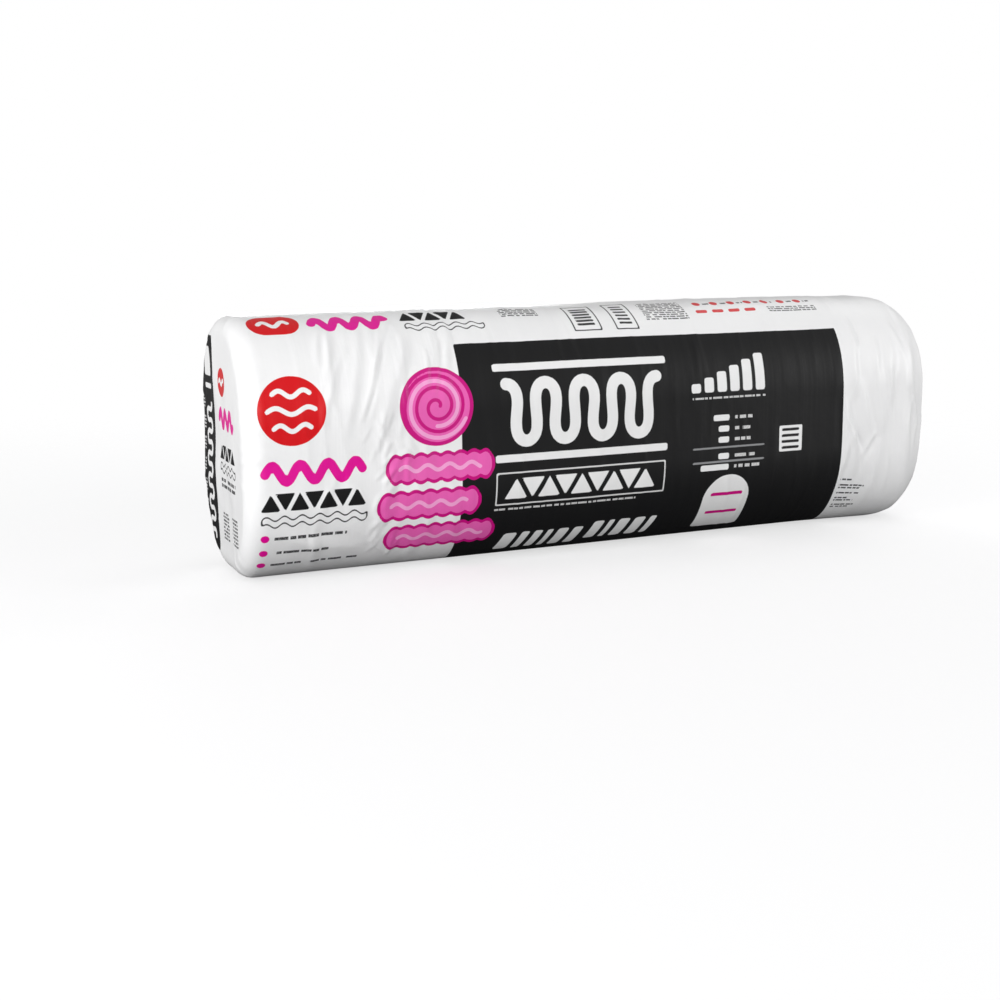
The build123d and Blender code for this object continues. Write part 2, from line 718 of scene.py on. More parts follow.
@dataclass(frozen=True)
class Fold:
    """A crease or soft fold in the film, in the side chart.

    Its cross section is a ridge of its own height and width that falls off as the exponential of
    the squared distance, with a shallow valley on one side. It fades to nothing at both ends.
    """

    path: Path
    height: float
    width: float
    valley: float = 0.35
    valley_place: float = 1.7
    fade: float = 0.6

    def lift(self, along: Grid, climb: Grid) -> Grid:
        """How far the film stands out at each point, in millimetres.

        Args:
            along: Place along the bag.
            climb: Place up the film.

        Returns:
            The ridge, less the valley beside it, times a fade towards the path's ends.
        """
        points = np.array(self.path, float)
        near = within(box_round(points, 4 * self.width), along, climb)
        lift = np.zeros(along.shape)
        distance, side, share = path_distance(along[near], climb[near], points)
        fade = np.clip(np.sin(pi * np.clip(share, 0, 1)), 0, 1) ** self.fade
        ridge = np.exp(-((distance / self.width) ** 2))
        valley = np.exp(-(((distance * side - self.valley_place * self.width) / self.width) ** 2))
        lift[near] = self.height * fade * (ridge - self.valley * valley)
        return lift


@dataclass(frozen=True)
class FoldField:
    """A seeded scatter of like folds over one part of the side chart.

    Each range gives the least and the greatest value that is drawn evenly from it. A fold starts
    at its place and runs down the film, or along the bag where it is crosswise.
    """

    seed: int
    count: int
    along: tuple[float, float]
    climb: tuple[float, float]
    length: tuple[float, float]
    lean: tuple[float, float]
    height: tuple[float, float]
    width: tuple[float, float]
    crosswise: bool = False

    def folds(self) -> list[Fold]:
        """Draws the folds.

        Each path is a shallow arc: a straight run that leans by its lean, bowed sideways by a
        parabola of up to a fourteenth of its length.

        Returns:
            The folds, in the order in which they were drawn.
        """
        draw = np.random.default_rng(self.seed)
        made: list[Fold] = []
        steps = np.linspace(0, 1, 7)
        for _ in range(self.count):
            along, climb, length = (draw.uniform(*span) for span in (self.along, self.climb, self.length))
            lean, height, width = (draw.uniform(*span) for span in (self.lean, self.height, self.width))
            bow = draw.uniform(-1, 1) * length / 14
            ahead = length * steps / np.hypot(1, lean)
            aside = ahead * lean + bow * 4 * steps * (1 - steps)
            path = (along + ahead, climb + aside) if self.crosswise else (along + aside, climb - ahead)
            made.append(Fold(tuple(zip(*path)), height, width))
        return made


@dataclass(frozen=True)
class Girth:
    """The bag's outline across its length: narrow flats, upright sides and elliptical corners."""

    depth: float = BAG_DEPTH
    height: float = 2 * MID_HEIGHT
    top_flat: float = 40.0
    foot_flat: float = 50.0
    corner: float = 150.0
    fine_step: float = 3.0
    coarse_step: float = 3.8
    step_changes: Place = (-262.0, 306.0, 836.0)

    # Nine stretches from the foot's middle up the front and round: where each starts and ends
    turns = np.radians((-90, -90, 0, 0, 90, 90, 180, 180, 270, 270))
    sides = np.array((0, -1, -1, -1, -1, 1, 1, 1, 1, 0), float)
    ends = np.array((-1, -1, -1, 1, 1, 1, 1, -1, -1, -1), float)

    def place(self, turn: Grid, side: Grid, end: Grid, **drawn: Any) -> tuple[Grid, Grid]:
        """Points of the outline, drawn in from its sides and from its top and foot.

        Args:
            turn: The corner's angle, 0 at the front and a quarter turn at the top.
            side: Which half of the flat, -1 for the front's and 1 for the back's.
            end: Which half of the upright side, -1 for the lower and 1 for the upper.
            drawn: draw_side, draw_height and power, numbers or columns of them.

        Returns:
            Depth and height of each point. The depth is the flat's half, then the corner's
            cosine; the height is the upright's half, then the corner's sine. A power above 2
            makes the corner squarer.
        """
        power = 2 / np.asarray(drawn.get("power", 2.0))
        half_side = self.depth / 2 - drawn.get("draw_side", 0.0)
        half_height = self.height / 2 - drawn.get("draw_height", 0.0)
        corner = self.corner * half_height / (self.height / 2)
        flat = np.where(np.sin(turn) >= 0, self.top_flat, self.foot_flat) / 2
        across = np.sign(np.cos(turn)) * np.abs(np.cos(turn)) ** power
        up = np.sign(np.sin(turn)) * np.abs(np.sin(turn)) ** power
        y = side * flat - across * (half_side - flat)
        z = MID_HEIGHT + end * (half_height - corner) + up * corner
        return y, z

    def columns(self) -> Grids:
        """Spreads columns round the outline, finer on the front and top than on the back.

        Returns:
            climb, turn, side and end of each column, the whole way round as girth, and the
            foot's climb as start. Climb is 0 half way up the front, which is the third stretch.
        """
        stretch = np.linspace(0, 9, 9 * 300 + 1)
        knots = np.arange(10)
        turn, side, end = (np.interp(stretch, knots, row) for row in (self.turns, self.sides, self.ends))
        y, z = self.place(turn, side, end)
        way = np.r_[0, np.cumsum(np.hypot(np.diff(y), np.diff(z)))]
        start = -np.interp(2.5, stretch, way)
        stops = (start, *self.step_changes, start + way[-1])
        steps = (2 * self.coarse_step, self.fine_step, self.coarse_step, 2 * self.coarse_step)
        pieces = [
            np.linspace(low, high, 4 * round((high - low) / step / 4), endpoint=False)
            for low, high, step in zip(stops, stops[1:], steps)
        ]
        climb = np.concatenate(pieces)
        at = np.interp(climb, way + start, stretch)
        turn, side, end = (np.interp(at, knots, row) for row in (self.turns, self.sides, self.ends))
        return {"climb": climb, "turn": turn, "side": side, "end": end, "girth": way[-1], "start": start}


@dataclass(frozen=True)
class Rings:
    """Stations along the bag: flat left end, its tight edge, the straight, the soft right end."""

    left_round: float = 30.0
    left_draw_side: float = 28.0
    left_draw_height: float = 28.0
    right_round: float = 88.0
    right_draw_side: float = 56.0
    right_draw_height: float = 74.0
    right_power: float = 2.3
    step: float = 3.0
    left_rings: tuple[int, int] = (46, 15)
    right_rings: tuple[int, int] = (38, 34)
    pole: float = 0.03

    def stations(self) -> Grids:
        """Every ring of the skin, from the left pole to the right one.

        Each end's edge is a quarter ellipse: x is the round's length times one less the cosine,
        and the ring is drawn in by its full amount times one less the sine. On the flat of an
        end the rings shrink about its middle.

        Returns:
            x, draw_side, draw_height, shrink, power and along of each ring as columns. Along is
            the way along the film, which leaves x where the film turns the edge.
        """
        cap_left = np.linspace(self.pole, 1, self.left_rings[0], endpoint=False)
        edge_left = np.linspace(0, QUARTER_TURN, self.left_rings[1])
        start, stop = self.left_round, BAG_LENGTH - self.right_round
        straight = np.linspace(start, stop, 4 * round((stop - start) / self.step / 4) + 3)[1:-1]
        edge_right = np.linspace(QUARTER_TURN, 0, self.right_rings[0])
        cap_right = np.linspace(1, self.pole, self.right_rings[1])[1:]
        count = [len(part) for part in (cap_left, edge_left, straight, edge_right, cap_right)]
        x = np.r_[
            np.zeros(count[0]),
            self.left_round * (1 - np.cos(edge_left)),
            straight,
            BAG_LENGTH - self.right_round * (1 - np.cos(edge_right)),
            np.full(count[4], BAG_LENGTH),
        ]
        left_over = np.r_[np.ones(count[0]), 1 - np.sin(edge_left), np.zeros(sum(count[2:]))]
        right_over = np.r_[np.zeros(sum(count[:3])), 1 - np.sin(edge_right), np.ones(count[4])]
        shrink = np.r_[cap_left, np.ones(sum(count[1:4])), cap_right]
        draw_side = left_over * self.left_draw_side + right_over * self.right_draw_side
        draw_height = left_over * self.left_draw_height + right_over * self.right_draw_height
        half = BAG_DEPTH / 2 - draw_side
        way = np.r_[0, np.cumsum(np.hypot(np.diff(x), np.diff(half * shrink)))]
        first_straight = count[0] + count[1]
        along = way - way[first_straight] + x[first_straight]
        power = 2 + (self.right_power - 2) * ease(1000, 1200, x)
        table = {"x": x, "draw_side": draw_side, "draw_height": draw_height, "shrink": shrink}
        table |= {"power": power, "along": along}
        return {name: values[:, None] for name, values in table.items()}


@dataclass(frozen=True)
class Thinning:
    """Joins cells of the skin's grid where one large cell says what several small ones do.

    The grid's counts of cells are multiples of the largest size, and its last column repeats the
    first. Faces that meet share all their points, so the skin stays closed.
    """

    shape_play: float = 0.12
    ink_play: float = 0.2
    ink_reach: float = 3.5
    sizes: tuple[int, ...] = (4, 2)

    def alike(self, points: Grid, inks: Grid, size: int) -> Grid:
        """Tells which blocks of size by size cells can become one cell.

        Each point of a block is set against the blend of the block's corners, weighted by its
        place between them. The points may stray by the shape's play, and an ink's distance by the
        ink's play where it is within reach of an edge.

        Args:
            points: The skin's points.
            inks: The ink distances, one plane each, last.
            size: Cells along a block's side.

        Returns:
            True for each block that can be joined.
        """
        rows, columns = ((cells - 1) // size for cells in points.shape[:2])

        def pick(grid: Grid, down: int, over: int) -> Grid:
            """The value that every block has at one of its places."""
            kept = grid[down : down + size * (rows - 1) + 1 : size]
            return kept[:, over : over + size * (columns - 1) + 1 : size]

        fits = np.ones((rows, columns), bool)
        for down, over in np.ndindex(size + 1, size + 1):
            s, t = down / size, over / size
            weights = (((0, 0), (1 - s) * (1 - t)), ((size, 0), s * (1 - t)))
            weights += (((0, size), (1 - s) * t), ((size, size), s * t))
            mixed = [sum(weight * pick(grid, *at) for at, weight in weights) for grid in (points, inks)]
            shape, ink = pick(points, down, over), pick(inks, down, over)
            fits &= np.linalg.norm(mixed[0] - shape, axis=-1) < self.shape_play
            far = np.minimum(np.abs(mixed[1]), np.abs(ink)) > self.ink_reach
            fits &= ((np.abs(mixed[1] - ink) < self.ink_play) | far).all(-1)
        return fits

    def faces(self, points: Grid, inks: Grid) -> tuple[list[Grid], Grid]:
        """Covers the grid with cells of the largest sizes that fit.

        Args:
            points: The skin's points.
            inks: The ink distances, one plane each, last.

        Returns:
            The corners of every face, as numbers of the grid's points without its repeated
            column, and which of those points are used.
        """
        rows, width = points.shape[0], points.shape[1] - 1
        free = np.ones((rows - 1, width), bool)
        used = np.zeros(rows * width, bool)
        rims = []
        for size in (*self.sizes, 1):
            whole = free.reshape((rows - 1) // size, size, width // size, size).all((1, 3))
            if size > 1:
                whole &= self.alike(points, inks, size)
            free &= ~np.repeat(np.repeat(whole, size, 0), size, 1)
            down, over = np.array(np.nonzero(whole)) * size
            steps, back = np.arange(size), np.arange(size, 0, -1)
            low, high = np.zeros(size, int), np.full(size, size)
            ahead = down[:, None] + np.r_[steps, high, back, low]
            aside = over[:, None] + np.r_[low, steps, high, back]
            rim = ahead * width + aside % width
            used[rim[:, ::size]] = True
            rims.append(rim)
        faces: list[Grid] = []
        for rim in rims:
            kept = used[rim]
            faces += np.split(rim[kept], np.cumsum(kept.sum(1))[:-1])
        return faces, used


@dataclass(frozen=True)
class Gathers:
    """The right end's gathers, which run level from the upright weld and fan out at its ends."""

    weld_half: float = 118.0
    fan: float = 95.0
    pitches: tuple[float, float] = (21.0, 9.0)
    begin: float = 1215.0
    edge: float = 1262.0
    full: float = 1310.0
    heights: tuple[float, float] = (0.5, 2.4)
    tent: float = 7.0
    tent_begin: float = 1240.0
    tent_reach: float = 38.0

    def lift(self, place: Grids) -> Grid:
        """How far the gathers stand out.

        A point's lane is the height of the nearest place on the weld, plus, past the weld's end,
        a length times the angle round that end. Two noises across the lanes make the pleats. They
        grow from nothing on the straight to their most beside the weld, where the film also rises
        like a tent, as the exponential of the distance.

        Args:
            place: The smooth shape's along, across and height of each point.

        Returns:
            Millimetres outwards, for every point.
        """
        along, across = place["along"], place["across"]
        on_weld = np.clip(place["height"], -self.weld_half, self.weld_half)
        past = place["height"] - on_weld
        angle = np.arctan2(np.abs(past), np.abs(across) + 1e-6) * np.sign(past)
        lane = on_weld + self.fan * angle
        side = np.where(across > 0, 3.0, 9.0)
        pleat = lattice_noise(lane / self.pitches[0] + 30, side, 19)
        pleat += 0.5 * lattice_noise(lane / self.pitches[1] + 70, side, 20)
        near = np.hypot(past, across)
        size = self.heights[0] * ease(self.begin, self.edge, along)
        size += self.heights[1] * ease(self.edge, self.full, along)
        size *= (1 + 0.4 * ease(70, 12, near)) * ease(0, 6, near)
        return pleat * size + self.tent * np.exp(-near / self.tent_reach) * (along > self.tent_begin)


@dataclass(frozen=True)
class Relief:
    """How the film stands out from the CAD's smooth shape: lumps, pull lines, folds, gathers."""

    stand_off: float = 1.0
    lumps: tuple[float, float] = (1.8, 0.9)
    pull: float = 0.8
    unevenness: float = 0.14
    soft_end: tuple[float, float] = (1080.0, 1200.0)
    deepest: float = 0.9
    knee: float = 2.2
    gathers: Gathers = Gathers()
    folds: tuple[Fold, ...] = (
        Fold(((1050, 30), (1058, -4), (1074, -40), (1093, -74)), 2.4, 4.0, 0.8),
        Fold(((1094, -74), (1104, -58), (1124, -34)), -1.4, 4.5, 0.8),
        Fold(((1140, 100), (1146, 40), (1150, -10), (1150, -70), (1151, -140)), 2.6, 6.5, 0.8),
        Fold(((1190, -210), (1196, -150), (1180, -60), (1176, 10), (1172, 80)), 4.6, 15.0, 0.9),
        Fold(((1205, 195), (1196, 110), (1190, 40)), 2.0, 11.0, 0.5),
        Fold(((1198, 30), (1188, -20), (1196, -70)), 1.6, 4.0, 0.6),
        Fold(((1202, 30), (1218, -14), (1206, -68)), 1.6, 4.0, 0.6),
        Fold(((1166, 200), (1146, 80), (1143, 15), (1139, -30)), 1.6, 11.0, 0.5),
        Fold(((1080, 190), (1066, 90), (1062, 10)), 2.0, 8.0, 0.5),
        Fold(((1068, -20), (1080, -100)), 2.0, 7.0, 0.5),
        Fold(((1226, 170), (1236, 60), (1238, -30), (1226, -140)), 2.4, 5.5, 0.8),
        Fold(((190, 205), (176, 130), (158, 60), (150, 20)), 1.8, 7.0, 0.5),
        Fold(((226, 196), (208, 140), (200, 122), (192, 90), (174, 44)), 2.2, 3.6, 0.9),
        Fold(((240, 150), (216, 60), (196, 0)), 1.8, 10.0, 0.5),
        Fold(((268, 200), (252, 140), (230, 90)), 2.0, 8.0, 0.5),
        Fold(((308, 205), (298, 150), (280, 108)), 1.6, 7.0, 0.5),
        Fold(((330, 205), (326, 168), (318, 120)), 1.4, 6.0, 0.5),
        Fold(((142, 195), (136, 130), (128, 70)), 1.4, 8.0, 0.5),
        Fold(((188, -10), (214, -60), (206, -120)), 1.8, 10.0, 0.5),
        Fold(((30, -110), (90, -140), (180, -160)), 1.6, 12.0, 0.5),
    )
    scatters: tuple[FoldField, ...] = (
        FoldField(41, 16, (110, 345), (150, 225), (50, 150), (-0.45, 0.1), (0.7, 1.9), (3.0, 6)),
        FoldField(51, 26, (188, 250), (-26, 62), (22, 52), (-1.1, 0.9), (0.7, 1.6), (2.6, 4.2)),
        FoldField(52, 14, (185, 240), (-150, -60), (24, 60), (-1.3, 0.9), (0.6, 1.4), (3.0, 5.0)),
        FoldField(42, 60, (330, 1060), (-40, 235), (80, 260), (-0.07, 0.07), (0.2, 0.6), (3.5, 7)),
        FoldField(43, 26, (1045, 1195), (-60, 250), (60, 210), (-0.2, 0.3), (0.6, 1.8), (5, 9)),
        FoldField(44, 20, (60, 330), (-150, 20), (40, 110), (-0.8, 0.4), (0.5, 1.4), (4, 9)),
        FoldField(45, 60, (120, 1060), (420, 800), (80, 240), (-0.1, 0.1), (0.3, 1.1), (4, 8)),
        FoldField(46, 30, (1040, 1245), (420, 800), (60, 200), (-0.25, 0.25), (0.7, 2.2), (5, 9)),
        FoldField(47, 20, (-46, -14), (-250, 300), (40, 80), (-0.4, 0.4), (0.2, 0.7), (5, 9), True),
        FoldField(48, 26, (-46, -14), (300, 830), (40, 80), (-0.4, 0.4), (0.2, 0.8), (5, 9), True),
        FoldField(49, 30, (150, 1150), (255, 300), (40, 110), (-0.2, 0.2), (0.4, 1.1), (4, 8)),
    )

    def lift(self, place: Grids) -> Grid:
        """How far the film stands out, in millimetres.

        It is a sum. Soft lumps from the batts: two noises about 190 and 75 mm across. Pull lines
        round the girth: a noise 26 mm along by 230 mm round, whose zeros a power makes into thin
        ridges. A fine unevenness. The folds, placed one by one and scattered. And the right end's
        gathers. Below the least height the sum bends smoothly, as the logarithm of one plus an
        exponential.

        Args:
            place: The smooth shape's along, climb, share, across and height of each point.

        Returns:
            The height of each point, never deeper than the deepest, so the batts stay covered.
        """
        along, climb, share = place["along"], place["climb"], place["share"]

        def soft(length: float, count: int, seed: int, shift: Any = 0.0) -> Grid:
            """A noise with cells of a length along the bag and a count of them round it."""
            return lattice_noise(along / length + shift, share * count, seed, count)

        slack = ease(*self.soft_end, along)
        lumps = (self.lumps[0] * soft(190, 6, 11) + self.lumps[1] * soft(75, 14, 12)) * (1 - 0.65 * slack)
        thread = soft(26, 5, 13, 0.5 * soft(80, 9, 14))
        strength = 0.3 + 0.7 * np.clip(soft(120, 7, 15) + 0.4, 0, 1)
        height = self.stand_off - 0.8 * slack + lumps + self.pull * strength * (1 - np.abs(thread)) ** 5
        height += self.unevenness * soft(9, 24, 16)
        scattered = [fold for scatter in self.scatters for fold in scatter.folds()]
        for fold in list(self.folds) + scattered:
            height += fold.lift(along, climb)
        height += self.gathers.lift(place)
        return -self.deepest + np.logaddexp(0, (height + self.deepest) * self.knee) / self.knee


@dataclass(frozen=True)
class FilmBag:
    """The printed film bag: its skin, the relief that the batts give it, and its print."""

    girth: Girth = Girth()
    rings: Rings = Rings()
    relief: Relief = Relief()
    thinning: Thinning = Thinning()
    side_print: SidePrint = SidePrint()
    end_print: EndPrint = EndPrint()
    foot_squareness: float = 1.7
    top_squareness: float = 0.2
    end_bulge: float = 4.0
    side_print_from: float = -15.0
    end_print_to: float = 4.0
    ink_reach: float = 14.0

    def points(self) -> Grids:
        """Works out every vertex of the skin.

        Each point of the smooth shape moves along its normal by the relief, which fades on the
        foot and near the left end's pole, and by a parabola's bulge on the right end.

        Returns:
            The points in millimetres on the grid of rings and columns, with along, climb and the
            end chart's coordinates of each.
        """
        rings, columns = self.rings.stations(), self.girth.columns()
        drawn = {name: rings[name] for name in ("draw_side", "draw_height")}
        square = np.where(columns["end"] < 0, self.foot_squareness, self.top_squareness)
        drawn["power"] = 2 + (rings["power"] - 2) * square
        y, z = self.girth.place(*(columns[name][None] for name in ("turn", "side", "end")), **drawn)
        y = y * rings["shrink"]
        z = MID_HEIGHT + (z - MID_HEIGHT) * rings["shrink"]
        x = LEFT_END + rings["x"] + 0 * y
        smooth = np.stack((x, y, z), -1)
        upward = np.roll(smooth, -1, axis=1) - np.roll(smooth, 1, axis=1)
        normal = np.cross(np.gradient(smooth, axis=0), upward)
        normal /= np.linalg.norm(normal, axis=-1, keepdims=True)
        climb = columns["climb"][None] + 0 * y
        place = {"along": rings["along"] + 0 * y, "climb": climb}
        place |= {"share": (climb - columns["start"]) / columns["girth"]}
        place |= {"across": -y, "height": z - MID_HEIGHT}
        height = self.relief.lift(place)
        height *= np.where(x > 0, 1.0, ease(0.05, 0.35, rings["shrink"]) + 0 * y)
        height *= 1 - 0.95 * ease(-0.86, -0.99, normal[..., 2])
        bulge = self.end_bulge * (1 - rings["shrink"] ** 2) * (x > 0)
        points = smooth + normal * (height + bulge)[..., None]
        points[..., 2] = np.maximum(points[..., 2], 0.0)
        return place | {"points": points}

    def ink_fields(self, place: Grids) -> dict[Ink, Grid]:
        """Signed distance from every vertex to the nearest mark of each ink.

        The back repeats the front's print, turned to read from behind. The left end's print
        stops where the film turns the edge.

        Args:
            place: What points gives.

        Returns:
            For each ink a grid in millimetres, negative inside its marks.
        """
        along, climb = place["along"], place["climb"]
        columns = self.girth.columns()
        top_mid = columns["girth"] / 2 + columns["start"]
        behind = climb > top_mid
        chart_x = np.where(behind, BAG_LENGTH - along, along)
        chart_up = np.where(behind, 2 * top_mid - climb, climb)
        fields = {ink: np.full(along.shape, FAR) for ink in Ink}
        charts = (
            (self.side_print, chart_x, chart_up, along > self.side_print_from),
            (self.end_print, place["across"], place["height"], along < self.end_print_to),
        )
        for chart, first, second, shown in charts:
            for mark in chart.marks():
                near = shown & within(mark.reach(), first, second, self.ink_reach)
                found = mark.distance(first[near], second[near])
                fields[mark.ink][near] = np.minimum(fields[mark.ink][near], found)
        return fields

    def build(self) -> bpy.types.Object:
        """Makes the skin's mesh, with its inks as attributes and its unrolled map.

        Each end closes in a fan of triangles round its pole.

        Returns:
            The film bag.
        """
        place = self.points()
        grid = place["points"]
        rows, width = grid.shape[:2]
        fields = self.ink_fields(place)
        inks = np.stack(list(fields.values()), -1)
        closed = [np.concatenate((plane, plane[:, :1]), axis=1) for plane in (grid, inks)]
        faces, used = self.thinning.faces(*closed)
        number = np.where(used, np.cumsum(used) - 1, -1)
        faces = [number[face] for face in faces]
        for pole, row, turn in ((used.sum(), 0, 1), (used.sum() + 1, rows - 1, -1)):
            ring = number[row * width : (row + 1) * width]
            ring = ring[ring >= 0][::turn]
            faces += list(np.stack((np.full(len(ring), pole), ring, np.roll(ring, -1)), -1))
        points = np.vstack((grid.reshape(-1, 3)[used], [grid[0].mean(0), grid[-1].mean(0)]))
        mesh = smooth_mesh("film_bag", points, [face.tolist() for face in faces])
        for ink, distance in fields.items():
            layer = mesh.attributes.new(ink.value, "FLOAT", "POINT")
            layer.data.foreach_set("value", self.at_vertices(distance, used).astype(np.float32))
        self.unroll(mesh, place, used)
        return place_in_scene("film_bag", mesh)

    def at_vertices(self, grid: Grid, used: Grid) -> Grid:
        """A grid's values at the used points, then its means at the two poles."""
        return np.r_[grid.ravel()[used], grid[0].mean(), grid[-1].mean()]

    def unroll(self, mesh: bpy.types.Mesh, place: Grids, used: Grid) -> None:
        """Gives the mesh a map in metres: the side chart, and on the left end the end chart.

        A face that spans the seam on the foot takes its low side a whole girth further up.

        Args:
            mesh: The skin's mesh.
            place: What points gives.
            used: Which of the grid's points the mesh has.
        """
        girth = self.girth.columns()["girth"]
        corners = np.zeros(len(mesh.loops), np.int32)
        mesh.loops.foreach_get("vertex_index", corners)
        starts = np.zeros(len(mesh.polygons), np.int32)
        mesh.polygons.foreach_get("loop_start", starts)
        face = np.searchsorted(starts, np.arange(len(corners)), side="right") - 1
        names = ("along", "climb", "across", "height")
        along, climb, across, height = (self.at_vertices(place[name], used)[corners] for name in names)
        spread = np.maximum.reduceat(climb, starts)[face] - np.minimum.reduceat(climb, starts)[face]
        climb = climb + girth * ((spread > girth / 2) & (climb < 0))
        on_end = np.maximum.reduceat(along, starts)[face] < self.end_print_to
        chart = np.stack((np.where(on_end, across, along), np.where(on_end, height, climb)), -1)
        layer = mesh.uv_layers.new(name="unrolled")
        layer.uv.foreach_set("vector", (chart * MM).astype(np.float32).ravel())


@dataclass(frozen=True)
class PrintedFilm:
    """Blown low-density polyethylene film, printed in flat inks.

    The film is milk white and softly glossy, with faint lines along its pull. The black ink is
    laid on thickest and is more matt than the bare film.
    """

    white: tuple[str, str] = ("#f4f4f4", "#eaeaeb")
    colours: Shades = (
        (Ink.BLACK, "#151516"),
        (Ink.WHITE, "#ececec"),
        (Ink.GREY, "#8f9092"),
        (Ink.RED, "#d3000d"),
        (Ink.MAGENTA, "#e00093"),
        (Ink.PINK, "#ea62b4"),
        (Ink.PALE, "#f5a6d6"),
        (Ink.ROSE, "#c9057e"),
        (Ink.TOP_WHITE, "#f0f0f0"),
        (Ink.TOP_BLACK, "#1a1a1b"),
    )
    outlines: Shades = ((Ink.LINE_LIGHT, "#dcdcdc"), (Ink.LINE_DARK, "#2b2b2c"))
    fine_print: Shades = ((Ink.FINE_LIGHT, "#cfcfcf"), (Ink.FINE_DARK, "#3c3c3e"))
    row_print: Shades = ((Ink.ROW_LIGHT, "#d2d2d2"), (Ink.ROW_DARK, "#3c3c3e"))
    edge: float = 0.4
    line_half: float = 1.2
    word: float = 2.1
    row_shift: float = 7.31
    shake: tuple[float, float] = (260.0, 2.2)
    gap: tuple[float, float] = (0.2, 0.24)
    grain: float = 3200.0
    row_half: tuple[float, float] = (0.25, 0.33)
    roughness: tuple[float, float] = (0.34, 0.46)
    ink_roughness: float = 0.14
    shine: float = 0.5
    ink_shine: float = -0.22

    def mask(self, tree: Tree, distance: Socket, reach: float = 0.0) -> Socket:
        """Turns a distance field into cover: 1 inside, 0 outside, soft over twice the edge."""
        return ramp(tree, distance, reach - self.edge, reach + self.edge, 1.0, 0.0)

    def small_print(self, tree: Tree, place: Socket, row_height: float) -> Socket:
        """Small broken lines, as small print looks from where it can't be read.

        Rows are the fraction of the height in rows. Along a row, the fraction of the way in
        word lengths, shaken by a noise with a start of its own in each row, leaves a gap where
        it is small. A finer noise mottles the words.

        Args:
            tree: The material's tree.
            place: The unrolled map, in metres.
            row_height: From one row to the next, in millimetres.

        Returns:
            Cover from 0 to 1.
        """
        parts = add(tree, "SeparateXYZ", {0: place})
        rows = math(tree, "MULTIPLY", parts.outputs["Y"], 1 / (row_height * MM))
        start = math(tree, "MULTIPLY", math(tree, "FLOOR", rows), self.row_shift)
        spot = add(tree, "CombineXYZ", {0: parts.outputs["X"], 1: start}).outputs[0]
        scale, strength = self.shake
        shake = math(tree, "MULTIPLY", noise(tree, spot, scale / row_height, 2.0, "2D"), strength)
        way = math(tree, "MULTIPLY_ADD", parts.outputs["X"], 1 / (self.word * row_height * MM), shake)
        word = ramp(tree, math(tree, "FRACT", way), *self.gap, 0.0, 1.0)
        grain = noise(tree, place, self.grain / row_height, 0.0, "2D")
        mottle = ramp(tree, grain, 0.36, 0.5, 0.82, 1.0)
        off_mid = math(tree, "SUBTRACT", math(tree, "FRACT", rows), 0.5)
        row = ramp(tree, math(tree, "ABSOLUTE", off_mid), *self.row_half, 1.0, 0.0)
        return math(tree, "MULTIPLY", math(tree, "MULTIPLY", word, row), mottle)

    def layers(self, tree: Tree, place: Socket) -> tuple[Socket, Socket]:
        """Lays every ink over the white film.

        Args:
            tree: The material's tree.
            place: The unrolled map, in metres.

        Returns:
            The colour, and how much dark ink covers the film.
        """
        fields = {ink: add(tree, "Attribute", attribute_name=ink.value).outputs["Fac"] for ink in Ink}
        covers = [(self.mask(tree, fields[ink]), shade) for ink, shade in self.colours]
        for ink, shade in self.outlines:
            apart = math(tree, "ABSOLUTE", fields[ink])
            covers.append((self.mask(tree, apart, self.line_half), shade))
        for height, shades in ((FINE_ROW, self.fine_print), (ROW, self.row_print)):
            pattern = self.small_print(tree, place, height)
            for ink, shade in shades:
                covers.append((math(tree, "MULTIPLY", pattern, self.mask(tree, fields[ink])), shade))
        colour = blend(tree, noise(tree, place, 14.0, 3.0), *map(linear, self.white))
        for cover, shade in covers:
            colour = blend(tree, cover, colour, linear(shade))
        return colour, self.mask(tree, fields[Ink.BLACK])

    def material(self) -> bpy.types.Material:
        """The film's material, for a piece with the ink attributes and the unrolled map.

        Returns:
            The material.
        """
        material, tree = fresh_material("printed_polyethylene_film")
        place = add(tree, "UVMap", uv_map="unrolled").outputs[0]
        colour, dark = self.layers(tree, place)
        # Draw lines of the blown film, 5 mm apart and 0.25 m long, and a finer crinkle
        stretch = add(tree, "Mapping", {"Vector": place, "Scale": (200.0, 4.0, 1.0)}).outputs[0]
        lines = noise(tree, stretch, 1.0, 3.0)
        height = math(tree, "ADD", lines, noise(tree, place, 90.0, 4.0))
        gloss = ramp(tree, lines, 0.3, 0.7, *self.roughness)
        inputs = {"Base Color": colour, "IOR": 1.42, "Normal": bump(tree, 0.5, 0.0004, height)}
        inputs["Roughness"] = math(tree, "MULTIPLY_ADD", dark, self.ink_roughness, gloss)
        inputs["Specular IOR Level"] = math(tree, "MULTIPLY_ADD", dark, self.ink_shine, self.shine)
        coat(tree, inputs)
        return material


